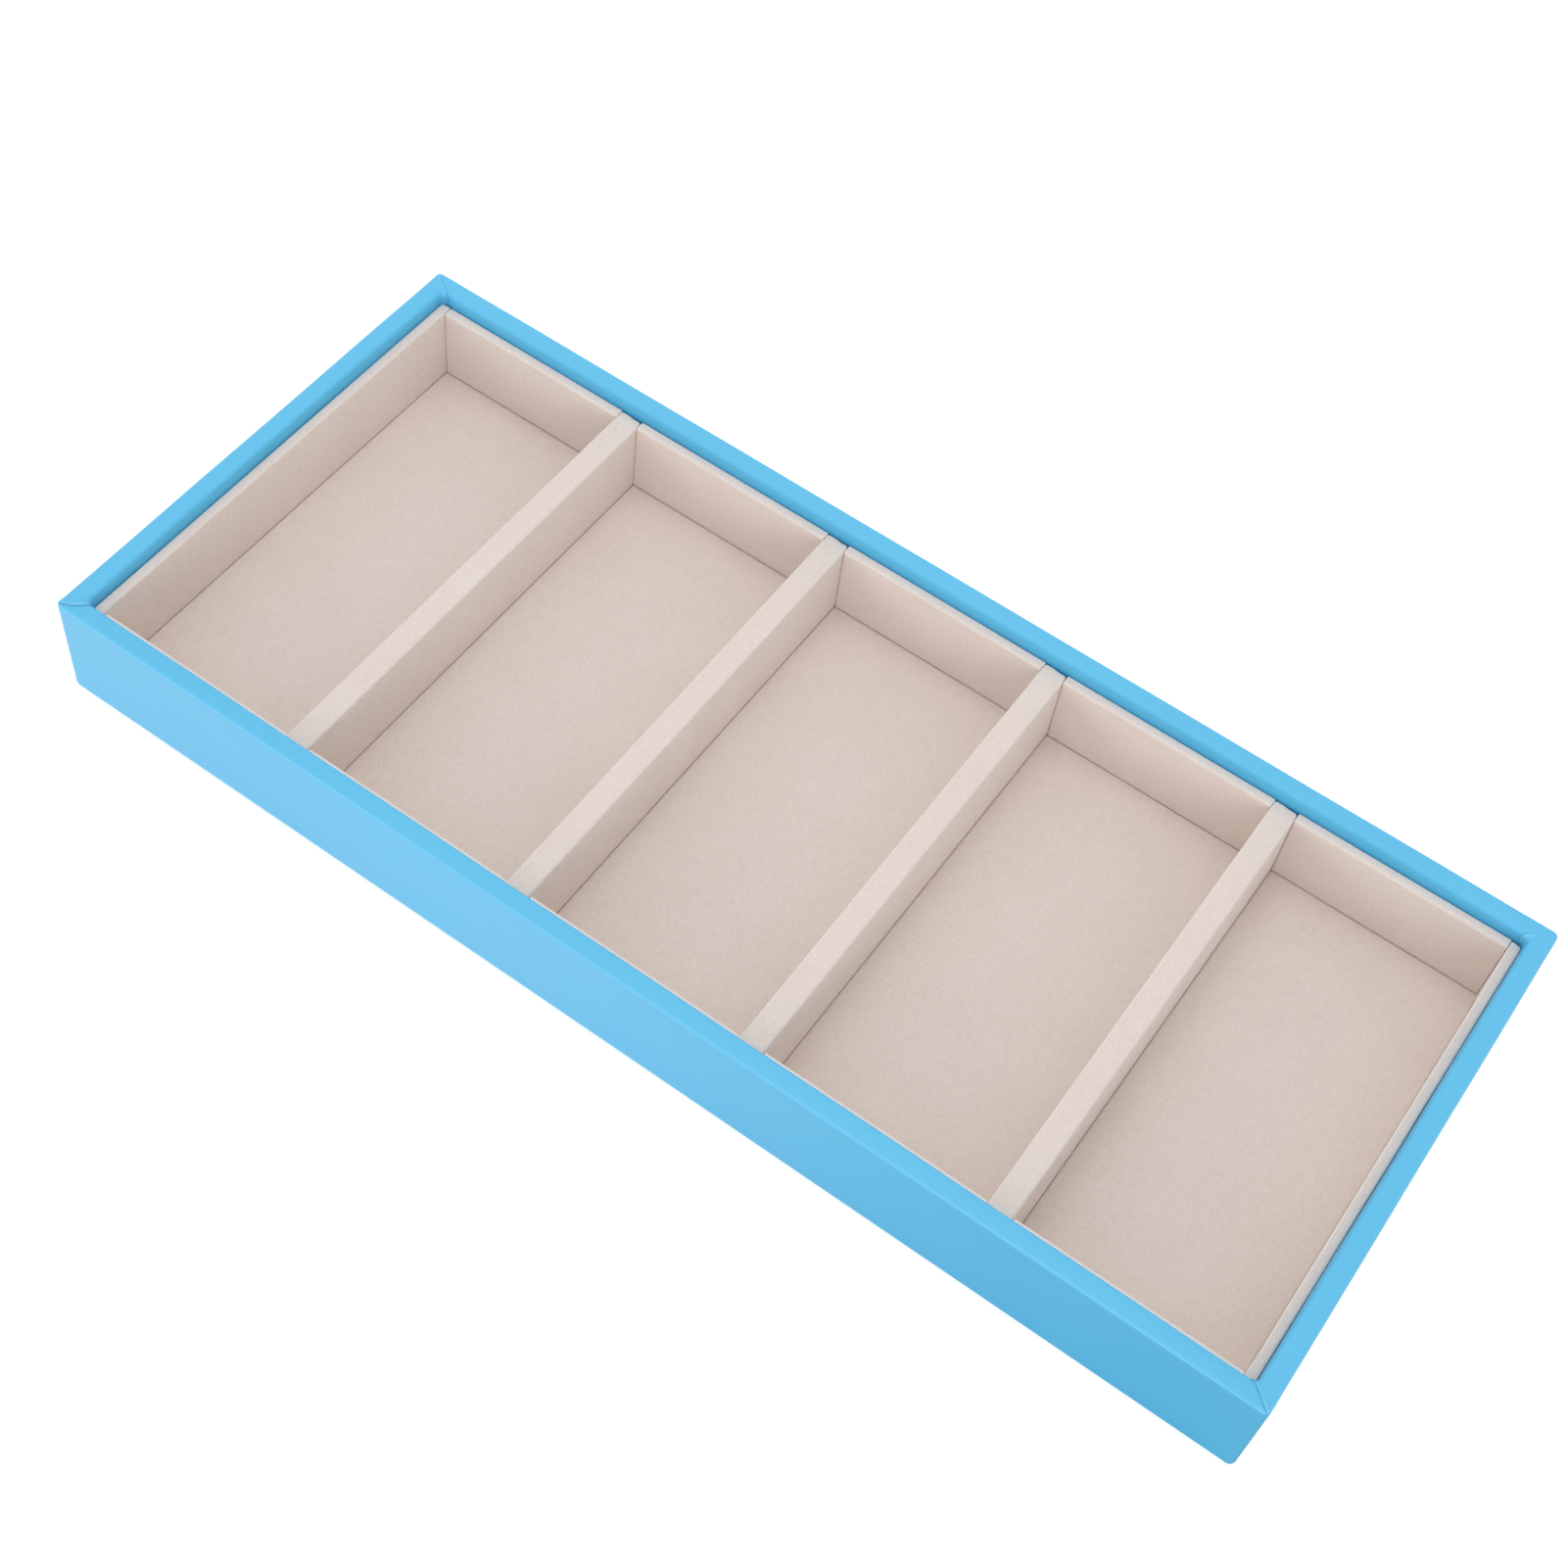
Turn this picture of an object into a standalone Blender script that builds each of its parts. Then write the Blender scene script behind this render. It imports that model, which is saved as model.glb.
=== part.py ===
import math

import bmesh
import bpy

# Driving dimensions, in metres
CASE_LENGTH = 0.420
CASE_WIDTH = 0.181
CASE_HEIGHT = 0.0415
CORNER_RADIUS = 0.002

# Clearance between two pieces that touch on the real tray
FIT_GAP = 0.0003

# Shell of fibreboard under leatherette
WALL_BOARD_THICKNESS = 0.0043
BASE_BOARD_THICKNESS = 0.0045
WRAP_THICKNESS = 0.001
RIM_OUTER_RADIUS = 0.001
RIM_INNER_RADIUS = 0.001
BOTTOM_RADIUS = 0.0025
LIP_DEPTH = 0.014

# Velvet liner on card
VELVET_THICKNESS = 0.0008
VELVET_EDGE_RADIUS = 0.0012
FLOOR_CARD_THICKNESS = 0.0013
PAD_CARD_THICKNESS = 0.0011
PAD_DROP = 0.0053
FRONT_PAD_DROP = 0.0064

# Dividers that stand in the slots between the wall pads
DIVIDER_COUNT = 4
DIVIDER_PITCH = 0.0823
DIVIDER_CORE_THICKNESS = 0.0058
DIVIDER_DROP = 0.0051

# Segments of the rounded edges, and the least angle between faces that stays a sharp edge
ARC_STEPS = 5
CORNER_STEPS = 3
EDGE_SEGMENTS = 3
SHARP_ANGLE = math.radians(35)

# Sizes and heights that follow from the ones above
LINING = WRAP_THICKNESS + FIT_GAP
RIM_WIDTH = WALL_BOARD_THICKNESS + 2 * LINING
JACKET_WALL = VELVET_THICKNESS + FIT_GAP
PAD_THICKNESS = PAD_CARD_THICKNESS + 2 * JACKET_WALL
PAD_BACK_INSET = RIM_WIDTH + FIT_GAP
PAD_FACE_INSET = PAD_BACK_INSET + PAD_THICKNESS
DIVIDER_THICKNESS = DIVIDER_CORE_THICKNESS + 2 * JACKET_WALL
BOARD_INSET = LINING + WALL_BOARD_THICKNESS + FIT_GAP
BASE_BOTTOM = LINING
FLOOR_CARD_BOTTOM = BASE_BOTTOM + BASE_BOARD_THICKNESS + FIT_GAP
FLOOR_VELVET_BOTTOM = FLOOR_CARD_BOTTOM + FLOOR_CARD_THICKNESS + FIT_GAP
LINER_BOTTOM = FLOOR_VELVET_BOTTOM + VELVET_THICKNESS + FIT_GAP
PAD_TOP = CASE_HEIGHT - PAD_DROP
FRONT_PAD_TOP = CASE_HEIGHT - FRONT_PAD_DROP
DIVIDER_TOP = CASE_HEIGHT - DIVIDER_DROP
MITRE_SHIFT = FIT_GAP / math.sqrt(2)
MITRE_ANGLE = math.pi / 4
QUARTER_TURN = math.pi / 2

COLLECTION_NAME = "glasses_organizer_case"


def clear_scene():
    for obj in list(bpy.data.objects):
        bpy.data.objects.remove(obj, do_unlink=True)


def make_material(name, colour, roughness):
    material = bpy.data.materials.new(name)
    material.use_nodes = True
    shader = material.node_tree.nodes["Principled BSDF"]
    shader.inputs["Base Color"].default_value = (*colour, 1.0)
    shader.inputs["Roughness"].default_value = roughness
    shader.inputs["Metallic"].default_value = 0.0
    material.diffuse_color = (*colour, 1.0)
    return material


def add_object(name, bm, material, location=(0, 0, 0), turn=0.0, parent=None):
    """Turns the bmesh into a named object in the tray's collection."""
    mesh = bpy.data.meshes.new(name)
    bmesh.ops.recalc_face_normals(bm, faces=bm.faces)
    bm.to_mesh(mesh)
    bm.free()
    mesh.materials.append(material)
    obj = bpy.data.objects.new(name, mesh)
    obj.location = location
    obj.rotation_euler = (0, 0, turn)
    obj.parent = parent
    bpy.data.collections[COLLECTION_NAME].objects.link(obj)
    return obj


def shade_smooth(obj):
    obj.data.shade_smooth()
    obj.data.set_sharp_from_angle(angle=SHARP_ANGLE)


def rounded_outline(corners):
    """Outline with an arc at each corner: corners are (inset, height, radius) and all turn by a quarter."""
    points = []
    for index, (u, z, radius) in enumerate(corners):
        before = corners[index - 1]
        after = corners[(index + 1) % len(corners)]
        if radius <= 0:
            points.append((u, z))
            continue
        into = math.copysign(1, before[0] - u) if before[0] != u else 0
        into_z = math.copysign(1, before[1] - z) if before[1] != z else 0
        out = math.copysign(1, after[0] - u) if after[0] != u else 0
        out_z = math.copysign(1, after[1] - z) if after[1] != z else 0
        for step in range(ARC_STEPS + 1):
            angle = QUARTER_TURN * step / ARC_STEPS
            towards_before = radius * (1 - math.sin(angle))
            towards_after = radius * (1 - math.cos(angle))
            points.append(
                (
                    u + into * towards_before + out * towards_after,
                    z + into_z * towards_before + out_z * towards_after,
                )
            )
    return points


def wrap_section():
    """Folded leatherette: turned in under the wall, up the outside, over the rim and down the lip."""
    inside = RIM_WIDTH - WRAP_THICKNESS
    lip_end = CASE_HEIGHT - LIP_DEPTH
    return rounded_outline(
        [
            (RIM_WIDTH, 0, 0),
            (0, 0, BOTTOM_RADIUS),
            (0, CASE_HEIGHT, RIM_OUTER_RADIUS),
            (RIM_WIDTH, CASE_HEIGHT, RIM_INNER_RADIUS),
            (RIM_WIDTH, lip_end, 0),
            (inside, lip_end, 0),
            (inside, CASE_HEIGHT - WRAP_THICKNESS, RIM_INNER_RADIUS - WRAP_THICKNESS),
            (WRAP_THICKNESS, CASE_HEIGHT - WRAP_THICKNESS, RIM_OUTER_RADIUS - WRAP_THICKNESS),
            (WRAP_THICKNESS, WRAP_THICKNESS, BOTTOM_RADIUS - WRAP_THICKNESS),
            (RIM_WIDTH, WRAP_THICKNESS, 0),
        ]
    )


def board_section():
    """Wall board, its edges eased so that the wrap lies round them."""
    top = CASE_HEIGHT - LINING
    inside = RIM_WIDTH - LINING
    return rounded_outline(
        [
            (inside, LINING, 0),
            (LINING, LINING, BOTTOM_RADIUS - LINING),
            (LINING, top, RIM_OUTER_RADIUS - LINING),
            (inside, top, RIM_INNER_RADIUS - LINING),
        ]
    )


def mitred_strip(name, section, run, material, location, turn):
    """Sweeps a wall section along one side, with a mitre and half the rounded upright corner at each end."""
    stations = [(-1, 1 - step / CORNER_STEPS) for step in range(CORNER_STEPS + 1)]
    stations += [(1, step / CORNER_STEPS) for step in range(CORNER_STEPS + 1)]
    bm = bmesh.new()
    rings = []
    for side, share in stations:
        ring = []
        for inset, z in section:
            if inset < CORNER_RADIUS:
                reach = CORNER_RADIUS - inset
                along = CORNER_RADIUS - reach * math.sin(share * MITRE_ANGLE)
                across = CORNER_RADIUS - reach * math.cos(share * MITRE_ANGLE)
            else:
                along = inset + (1 - share) * CORNER_RADIUS
                across = inset
            x = side * (run / 2 - along - MITRE_SHIFT)
            ring.append(bm.verts.new((x, across, z)))
        rings.append(ring)
    for ring, following in zip(rings, rings[1:]):
        for index in range(len(section)):
            last = index - 1
            bm.faces.new((ring[last], ring[index], following[index], following[last]))
    bm.faces.new(rings[0])
    bm.faces.new(rings[-1])
    shade_smooth(add_object(name, bm, material, location, turn))


def box(name, size, centre, material, parent=None):
    """Plain board or card."""
    bm = bmesh.new()
    bmesh.ops.create_cube(bm, size=1)
    bmesh.ops.scale(bm, vec=size, verts=bm.verts)
    return add_object(name, bm, material, centre, parent=parent)


def velvet_jacket(name, size, centre, material, turn=0.0, parent=None):
    """Box without its bottom face, its edges rounded, thickened inwards."""
    bm = bmesh.new()
    bmesh.ops.create_cube(bm, size=1)
    bmesh.ops.scale(bm, vec=size, verts=bm.verts)
    bm.normal_update()
    bottom = min(bm.faces, key=lambda face: face.normal.z)
    bmesh.ops.delete(bm, geom=[bottom], context="FACES")
    bmesh.ops.bevel(
        bm,
        geom=[edge for edge in bm.edges if not edge.is_boundary],
        offset=VELVET_EDGE_RADIUS,
        segments=EDGE_SEGMENTS,
        profile=0.5,
        affect="EDGES",
    )
    jacket = add_object(name, bm, material, centre, turn, parent)
    solidify = jacket.modifiers.new("velvet", "SOLIDIFY")
    solidify.thickness = VELVET_THICKNESS
    solidify.offset = -1
    solidify.use_even_offset = True
    shade_smooth(jacket)
    return jacket


def make_shell(board, leatherette, sheet):
    half_length = CASE_LENGTH / 2
    half_width = CASE_WIDTH / 2
    sides = {
        "front": (CASE_LENGTH, (0, -half_width, 0), 0),
        "rear": (CASE_LENGTH, (0, half_width, 0), 2 * QUARTER_TURN),
        "left": (CASE_WIDTH, (-half_length, 0, 0), -QUARTER_TURN),
        "right": (CASE_WIDTH, (half_length, 0, 0), QUARTER_TURN),
    }
    for side, (run, location, turn) in sides.items():
        mitred_strip(f"{side}_wall_board", board_section(), run, board, location, turn)
        mitred_strip(f"{side}_leatherette", wrap_section(), run, leatherette, location, turn)
    box(
        "base_board",
        (CASE_LENGTH - 2 * BOARD_INSET, CASE_WIDTH - 2 * BOARD_INSET, BASE_BOARD_THICKNESS),
        (0, 0, BASE_BOTTOM + BASE_BOARD_THICKNESS / 2),
        board,
    )
    sheet_inset = RIM_WIDTH + FIT_GAP
    box(
        "underside_sheet",
        (CASE_LENGTH - 2 * sheet_inset, CASE_WIDTH - 2 * sheet_inset, WRAP_THICKNESS),
        (0, 0, WRAP_THICKNESS / 2),
        sheet,
    )


def make_floor(card, velvet):
    length = CASE_LENGTH - 2 * BOARD_INSET
    width = CASE_WIDTH - 2 * BOARD_INSET
    box(
        "floor_card",
        (length, width, FLOOR_CARD_THICKNESS),
        (0, 0, FLOOR_CARD_BOTTOM + FLOOR_CARD_THICKNESS / 2),
        card,
    )
    box(
        "floor_velvet",
        (length, width, VELVET_THICKNESS),
        (0, 0, FLOOR_VELVET_BOTTOM + VELVET_THICKNESS / 2),
        velvet,
    )


def make_pad(place, top, width, centre_x, centre_y, turn, card, velvet):
    """Card of one wall pad, and the velvet jacket that goes over its top edge and down its back."""
    height = top - LINER_BOTTOM
    card_height = height - JACKET_WALL
    card_obj = box(
        f"{place[0]}_pad_card{place[1]}",
        (width - 2 * JACKET_WALL, PAD_CARD_THICKNESS, card_height),
        (centre_x, centre_y, LINER_BOTTOM + card_height / 2),
        card,
    )
    card_obj.rotation_euler.z = turn
    velvet_jacket(
        f"{place[0]}_pad_velvet{place[1]}",
        (width, PAD_THICKNESS, height),
        (centre_x, centre_y, LINER_BOTTOM + height / 2),
        velvet,
        turn,
    )


def divider_places():
    first = -(DIVIDER_COUNT - 1) / 2
    return [(first + index) * DIVIDER_PITCH for index in range(DIVIDER_COUNT)]


def make_wall_pads(card, velvet):
    """End pads, and one pad for each compartment along the front and the rear."""
    middle_inset = (PAD_BACK_INSET + PAD_FACE_INSET) / 2
    end_x = CASE_LENGTH / 2 - middle_inset
    side_y = CASE_WIDTH / 2 - middle_inset
    end_width = CASE_WIDTH - 2 * PAD_BACK_INSET
    make_pad(("left", ""), PAD_TOP, end_width, -end_x, 0, QUARTER_TURN, card, velvet)
    make_pad(("right", ""), PAD_TOP, end_width, end_x, 0, -QUARTER_TURN, card, velvet)
    slot_half = DIVIDER_THICKNESS / 2 + FIT_GAP
    outer_end = CASE_LENGTH / 2 - PAD_FACE_INSET - FIT_GAP
    starts = [-outer_end] + [x + slot_half for x in divider_places()]
    ends = [x - slot_half for x in divider_places()] + [outer_end]
    for number, (start, end) in enumerate(zip(starts, ends), 1):
        middle = (start + end) / 2
        width = end - start
        make_pad(("front", f"_{number}"), FRONT_PAD_TOP, width, middle, -side_y, 0, card, velvet)
        make_pad(("rear", f"_{number}"), PAD_TOP, width, middle, side_y, 0, card, velvet)


def make_dividers(core, velvet):
    """Each divider lifts straight out of its slot, so its pieces hang from an empty on that line."""
    length = CASE_WIDTH - 2 * PAD_BACK_INSET
    height = DIVIDER_TOP - LINER_BOTTOM
    core_height = height - JACKET_WALL
    for number, x in enumerate(divider_places(), 1):
        lift = bpy.data.objects.new(f"divider_{number}_lift", None)
        lift.location = (x, 0, LINER_BOTTOM)
        bpy.data.collections[COLLECTION_NAME].objects.link(lift)
        box(
            f"divider_core_{number}",
            (DIVIDER_CORE_THICKNESS, length - 2 * JACKET_WALL, core_height),
            (0, 0, core_height / 2),
            core,
            lift,
        )
        velvet_jacket(
            f"divider_velvet_{number}",
            (DIVIDER_THICKNESS, length, height),
            (0, 0, height / 2),
            velvet,
            parent=lift,
        )


def main():
    clear_scene()
    collection = bpy.data.collections.new(COLLECTION_NAME)
    bpy.context.scene.collection.children.link(collection)
    board = make_material("fibreboard", (0.45, 0.33, 0.21), 0.8)
    card = make_material("grey_card", (0.42, 0.40, 0.37), 0.85)
    leatherette = make_material("blue_leatherette", (0.13, 0.55, 0.87), 0.42)
    velvet = make_material("beige_velvet", (0.62, 0.53, 0.48), 0.95)
    sheet = make_material("underside_paper", (0.10, 0.10, 0.11), 0.9)
    make_shell(board, leatherette, sheet)
    make_floor(card, velvet)
    make_wall_pads(card, velvet)
    make_dividers(board, velvet)


main()
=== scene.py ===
import math

import bpy
import numpy as np
from mathutils import Euler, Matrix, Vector


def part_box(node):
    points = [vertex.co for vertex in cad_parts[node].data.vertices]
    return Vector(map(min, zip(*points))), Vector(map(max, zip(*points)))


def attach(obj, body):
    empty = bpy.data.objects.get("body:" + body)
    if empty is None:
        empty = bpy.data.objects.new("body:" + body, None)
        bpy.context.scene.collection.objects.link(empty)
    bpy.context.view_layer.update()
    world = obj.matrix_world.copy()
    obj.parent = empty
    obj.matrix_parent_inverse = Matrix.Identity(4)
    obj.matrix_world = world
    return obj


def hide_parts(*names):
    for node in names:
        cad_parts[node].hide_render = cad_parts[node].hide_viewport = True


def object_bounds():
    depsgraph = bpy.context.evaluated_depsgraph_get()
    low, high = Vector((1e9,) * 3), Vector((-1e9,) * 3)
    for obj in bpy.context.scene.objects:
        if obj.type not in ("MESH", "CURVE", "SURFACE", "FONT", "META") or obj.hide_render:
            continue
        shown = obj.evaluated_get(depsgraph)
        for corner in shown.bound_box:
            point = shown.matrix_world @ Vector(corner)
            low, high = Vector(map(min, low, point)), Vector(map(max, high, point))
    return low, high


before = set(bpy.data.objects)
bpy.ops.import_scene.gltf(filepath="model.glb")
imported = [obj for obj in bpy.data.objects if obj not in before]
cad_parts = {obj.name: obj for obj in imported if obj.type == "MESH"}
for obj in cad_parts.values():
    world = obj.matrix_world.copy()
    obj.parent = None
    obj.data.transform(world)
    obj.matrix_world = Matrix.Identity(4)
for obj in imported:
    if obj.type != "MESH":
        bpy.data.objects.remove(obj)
cadLow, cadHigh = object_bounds()
caseLength, caseWidth, caseHeight = cadHigh - cadLow


# Quads of a grid of points listed row by row; rows and columns can each close on themselves.
def gridQuads(rows, columns, closeRows=False, closeColumns=False):
    i = np.arange(rows if closeRows else rows - 1)[:, None]
    j = np.arange(columns if closeColumns else columns - 1)[None, :]
    nextI = (i + 1) % rows
    nextJ = (j + 1) % columns
    corners = (i * columns + j, nextI * columns + j, nextI * columns + nextJ, i * columns + nextJ)
    return np.stack(np.broadcast_arrays(*corners), -1).reshape(-1, 4)


def newPiece(name, points, quads, material, body):
    mesh = bpy.data.meshes.new(name)
    mesh.from_pydata(points.reshape(-1, 3).tolist(), [], quads.tolist())
    mesh.shade_smooth()
    mesh.materials.append(material)
    piece = bpy.data.objects.new(name, mesh)
    bpy.context.scene.collection.objects.link(piece)
    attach(piece, body)
    return piece


def paint(piece, name, values):
    attribute = piece.data.attributes.new(name, "FLOAT", "POINT")
    attribute.data.foreach_set("value", values.astype(np.float32).ravel())


# 0 before the start, 1 past the end, and 3t^2 - 2t^3 in between.
def ease(value, start, end):
    t = np.clip((value - start) / (end - start), 0, 1)
    return t * t * (3 - 2 * t)


# A bell of height 1: e to the power of -(distance / width) squared.
def bell(distance, width):
    return np.exp(-((distance / width) ** 2))


# Slow waves within -1 and 1: three sines of unlike wavelength along three directions of the (a, b) plane,
# the second times 0.6 and the third times 0.35.
def waves(a, b, wavelength, phase):
    long = np.sin(2 * np.pi * a / wavelength + phase)
    middle = np.sin(2 * np.pi * (a * 0.7 + b * 1.3) / (wavelength * 0.61) + 1.9 * phase)
    short = np.sin(2 * np.pi * (b - a * 0.4) / (wavelength * 0.37) + 0.7 * phase)
    return (long + 0.6 * middle + 0.35 * short) / 1.95


# Node trees: add() makes a node, and a value that is itself a socket is linked, not written in.
class Nodes:
    def __init__(self, tree):
        self.tree = tree

    def put(self, socket, value):
        if isinstance(value, bpy.types.NodeSocket):
            self.tree.links.new(value, socket)
        else:
            socket.default_value = value

    def add(self, kind, values=None, **settings):
        node = self.tree.nodes.new(kind)
        for name, value in settings.items():
            setattr(node, name, value)
        for name, value in (values or {}).items():
            self.put(node.inputs[name], value)
        return node

    def math(self, operation, first, second=0.0, third=0.0):
        values = {0: first, 1: second, 2: third}
        return self.add("ShaderNodeMath", values, operation=operation).outputs[0]

    def mix(self, factor, first, second):
        node = self.add("ShaderNodeMix", data_type="RGBA")
        sockets = {socket.identifier: socket for socket in node.inputs}
        for name, value in (("Factor_Float", factor), ("A_Color", first), ("B_Color", second)):
            self.put(sockets[name], value)
        return node.outputs[2]

    def noise(self, vector, scale, detail=2.0):
        values = {"Vector": vector, "Scale": scale, "Detail": detail}
        return self.add("ShaderNodeTexNoise", values).outputs["Fac"]

    def group(self, tree, values):
        node = self.add("ShaderNodeGroup", node_tree=tree)
        for name, value in values.items():
            self.put(node.inputs[name], value)
        return node.outputs


def newGroup(name, inputs, outputs):
    kinds = {"vector": "NodeSocketVector", "value": "NodeSocketFloat", "color": "NodeSocketColor"}
    tree = bpy.data.node_groups.new(name, "ShaderNodeTree")
    for label, kind in inputs.items():
        tree.interface.new_socket(label, in_out="INPUT", socket_type=kinds[kind])
    for label, kind in outputs.items():
        tree.interface.new_socket(label, in_out="OUTPUT", socket_type=kinds[kind])
    nodes = Nodes(tree)
    return tree, nodes, nodes.add("NodeGroupInput").outputs, nodes.add("NodeGroupOutput").inputs


# Speckle over slow patches: two colours mixed by 0.5 plus each noise, less 0.5, times its share. The height
# is the fine noise plus 0.6 of the coarse one.
def makeSpeckleGroup():
    inputs = {"Vector": "vector", "Light Color": "color", "Deep Color": "color"}
    for size in ("Fine", "Coarse", "Patch"):
        inputs |= {f"{size} Scale": "value", f"{size} Share": "value"}
    outputs = {"Color": "color", "Height": "value", "Patch": "value"}
    tree, nodes, given, result = newGroup("speckle and patches", inputs, outputs)
    total, noises = 0.5, {}
    for size, detail in (("Fine", 2.0), ("Coarse", 3.0), ("Patch", 2.0)):
        noises[size] = nodes.noise(given["Vector"], given[f"{size} Scale"], detail)
        centred = nodes.math("SUBTRACT", noises[size], 0.5)
        total = nodes.math("MULTIPLY_ADD", centred, given[f"{size} Share"], total)
    clamped = nodes.add("ShaderNodeClamp", {"Value": total}).outputs[0]
    nodes.put(result["Color"], nodes.mix(clamped, given["Deep Color"], given["Light Color"]))
    nodes.put(result["Height"], nodes.math("MULTIPLY_ADD", noises["Coarse"], 0.6, noises["Fine"]))
    nodes.put(result["Patch"], noises["Patch"])
    return tree


# Pebbled grain: 1 less the distance to each cell's middle, smoothed by 0.7, plus 0.4 of the noise that bends
# the cells.
def makeGrainGroup():
    tree, nodes, given, result = newGroup(
        "pebbled grain",
        {"Vector": "vector", "Cell Scale": "value", "Bend": "value"},
        {"Height": "value"},
    )
    swirl = nodes.add("ShaderNodeTexNoise", {"Vector": given["Vector"], "Scale": given["Cell Scale"]})
    moved = nodes.add(
        "ShaderNodeVectorMath",
        {0: swirl.outputs["Color"], 1: given["Bend"], 2: given["Vector"]},
        operation="MULTIPLY_ADD",
    )
    values = {"Vector": moved.outputs[0], "Scale": given["Cell Scale"], "Smoothness": 0.7}
    cells = nodes.add("ShaderNodeTexVoronoi", values, feature="SMOOTH_F1").outputs["Distance"]
    domes = nodes.math("SUBTRACT", 1.0, cells)
    nodes.put(result["Height"], nodes.math("MULTIPLY_ADD", swirl.outputs["Fac"], 0.4, domes))
    return tree


speckleGroup = makeSpeckleGroup()
grainGroup = makeGrainGroup()


def newMaterial(name, constants):
    material = bpy.data.materials.new(name)
    material.use_nodes = True
    nodes = Nodes(material.node_tree)
    shader = material.node_tree.nodes["Principled BSDF"]
    for label, value in constants.items():
        shader.inputs[label].default_value = value
    place = nodes.add("ShaderNodeTexCoord").outputs["Object"]
    return material, nodes, shader, place


def speckled(nodes, place, look):
    values = {"Vector": place, "Light Color": look["light"], "Deep Color": look["deep"]}
    for size, (scale, share) in look["speckle"].items():
        values |= {f"{size} Scale": scale, f"{size} Share": share}
    return nodes.group(speckleGroup, values)


def bump(nodes, shader, height, depth, strength=1.0):
    made = nodes.add("ShaderNodeBump", {"Height": height, "Distance": depth, "Strength": strength})
    nodes.put(shader.inputs["Normal"], made.outputs[0])


# Sky-blue coated leatherette: satin and finely grained. It is paler along the outer edge, partly as stretched
# leatherette and partly as a painted highlight. It has painted highlights on the laps' ridges, and painted
# shade in the laps' grooves and at the foot of the lip
leatheretteLook = {
    "light": (0.089, 0.468, 0.745, 1),
    "deep": (0.075, 0.438, 0.710, 1),
    # pale: the colour of the edge line, partly stretched leatherette and partly painted highlight, and of the
    # laps' painted highlight ridges
    "pale": (0.165, 0.550, 0.820, 1),
    # dark: the colour of painted shade in the laps' grooves and at the foot of the lip
    "dark": (0.030, 0.290, 0.540, 1),
    "speckle": {"Fine": (1500.0, 0.35), "Coarse": (420.0, 0.4), "Patch": (18.0, 1.1)},
    "grain": {"Cell Scale": 1150.0, "Bend": 0.0004},
    "grainDepth": 0.000035,
    "roughness": (0.40, 0.50),
    "constants": {"Specular IOR Level": 0.42, "Coat Weight": 0.10, "Coat Roughness": 0.25},
}


def makeLeatherette(look):
    material, nodes, shader, place = newMaterial("sky blue leatherette", look["constants"])
    surface = speckled(nodes, place, look)
    # painted highlight along the outer edge, partly stretched leatherette, and along the laps' ridges
    stretched = nodes.add("ShaderNodeAttribute", attribute_name="stretched").outputs["Fac"]
    # painted shade in the laps' grooves and at the foot of the lip
    creased = nodes.add("ShaderNodeAttribute", attribute_name="creased").outputs["Fac"]
    colour = nodes.mix(stretched, surface["Color"], look["pale"])
    nodes.put(shader.inputs["Base Color"], nodes.mix(creased, colour, look["dark"]))
    low, high = look["roughness"]
    rough = nodes.add("ShaderNodeMapRange", {"Value": surface["Patch"], "To Min": low, "To Max": high})
    nodes.put(shader.inputs["Roughness"], rough.outputs[0])
    grain = nodes.group(grainGroup, {"Vector": place} | look["grain"])["Height"]
    bump(nodes, shader, grain, look["grainDepth"])
    return material


# Beige short-nap velvet: a dense speckle of fibre tips, soft patches where the nap lies another way, and
# a painted sheen highlight, paler, along the rolled edges
velvetLook = {
    "light": (0.820, 0.735, 0.685, 1),
    "deep": (0.700, 0.610, 0.555, 1),
    # pale: the colour of the painted sheen highlight on the rolled edges
    "pale": (0.860, 0.800, 0.760, 1),
    "speckle": {"Fine": (2600.0, 1.15), "Coarse": (1000.0, 1.1), "Patch": (45.0, 0.35)},
    "napDepth": 0.00016,
    "napStrength": 0.6,
    "constants": {
        "Roughness": 0.95,
        "Specular IOR Level": 0.1,
        "Sheen Weight": 0.35,
        "Sheen Roughness": 0.45,
        "Sheen Tint": (0.95, 0.90, 0.87, 1),
    },
}


def makeVelvet(look):
    material, nodes, shader, place = newMaterial("beige velvet", look["constants"])
    nap = speckled(nodes, place, look)
    # painted sheen highlight on the rolled edges
    rolled = nodes.add("ShaderNodeAttribute", attribute_name="rolled").outputs["Fac"]
    nodes.put(shader.inputs["Base Color"], nodes.mix(rolled, nap["Color"], look["pale"]))
    bump(nodes, shader, nap["Height"], look["napDepth"], look["napStrength"])
    return material


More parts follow.
